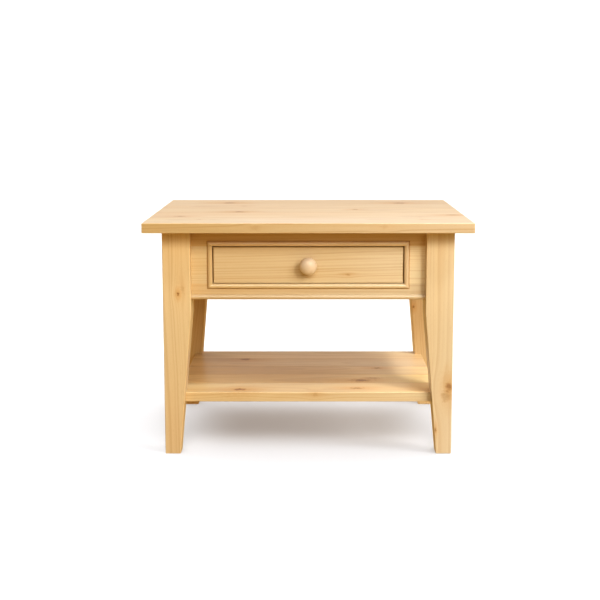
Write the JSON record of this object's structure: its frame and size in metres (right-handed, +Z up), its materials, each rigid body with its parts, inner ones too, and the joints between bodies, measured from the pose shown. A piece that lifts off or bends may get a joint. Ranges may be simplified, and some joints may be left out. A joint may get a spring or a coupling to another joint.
{
  "type": "side table with drawer",
  "caption": "Low pine side table with tapered legs, a beaded drawer under an overhanging boarded top, and an open boarded shelf below.",
  "frame": {"origin": "on the floor, under the middle of the top", "axes": "+X to the right as seen from the front, +Y from the front to the back, +Z up"},
  "size_m": [0.65, 0.46, 0.48],
  "materials": {
    "top_pine": "clear satin varnish on knotty pine",
    "leg_pine": "clear satin varnish on knotty pine",
    "shelf_pine": "clear satin varnish on knotty pine",
    "apron_pine": "clear satin varnish on pine",
    "bead_pine": "clear satin varnish on straight-grained pine",
    "drawer_front_pine": "clear satin varnish on knotty pine",
    "drawer_box_pine": "sanded, unvarnished pine",
    "plywood": "sanded, unvarnished birch plywood",
    "knob_wood": "clear satin varnish on turned, close-grained wood",
    "inner_pine": "planed, unvarnished pine",
    "hardwood": "planed, unvarnished beech",
    "zinc_steel": "zinc plated"
  },
  "bodies": {
    "carcase": {"back_apron": "apron_pine", "back_leg_left": "leg_pine", "back_leg_right": "leg_pine", "drawer_guide_left": "inner_pine", "drawer_guide_right": "inner_pine", "drawer_inner_stop_left": "hardwood", "drawer_inner_stop_right": "hardwood", "drawer_kicker_left": "inner_pine", "drawer_kicker_right": "inner_pine", "drawer_runner_left": "inner_pine", "drawer_runner_right": "inner_pine", "front_bead": "bead_pine", "front_bottom_rail": "apron_pine", "front_leg_left": "leg_pine", "front_leg_right": "leg_pine", "front_stile_left": "apron_pine", "front_stile_right": "apron_pine", "front_top_rail": "apron_pine", "opening_bead_bottom": "bead_pine", "opening_bead_left": "bead_pine", "opening_bead_right": "bead_pine", "opening_bead_top": "bead_pine", "shelf_board_1": "shelf_pine", "shelf_board_2": "shelf_pine", "shelf_board_3": "shelf_pine", "shelf_board_4": "shelf_pine", "shelf_board_5": "shelf_pine", "shelf_dowels": "hardwood", "side_apron_left": "apron_pine", "side_apron_right": "apron_pine", "side_bead_left": "bead_pine", "side_bead_right": "bead_pine", "top_board_1": "top_pine", "top_board_2": "top_pine", "top_board_3": "top_pine", "top_board_4": "top_pine", "top_board_5": "top_pine", "top_button_screws": "zinc_steel", "top_buttons": "hardwood"},
    "drawer": {"drawer_front": "drawer_front_pine", "drawer_back": "drawer_box_pine", "drawer_side_left": "drawer_box_pine", "drawer_side_right": "drawer_box_pine", "drawer_bottom": "plywood", "drawer_bottom_screws": "zinc_steel", "drawer_knob": "knob_wood", "knob_screw": "zinc_steel", "knob_washer": "zinc_steel", "turn_button": "hardwood", "turn_button_screw": "zinc_steel"}
  },
  "joints": [
    {"name": "drawer_slide", "type": "slide", "parent": "carcase", "child": "drawer", "axis": [0, -1, 0], "range_m": [0, 0.2565]}
  ]
}
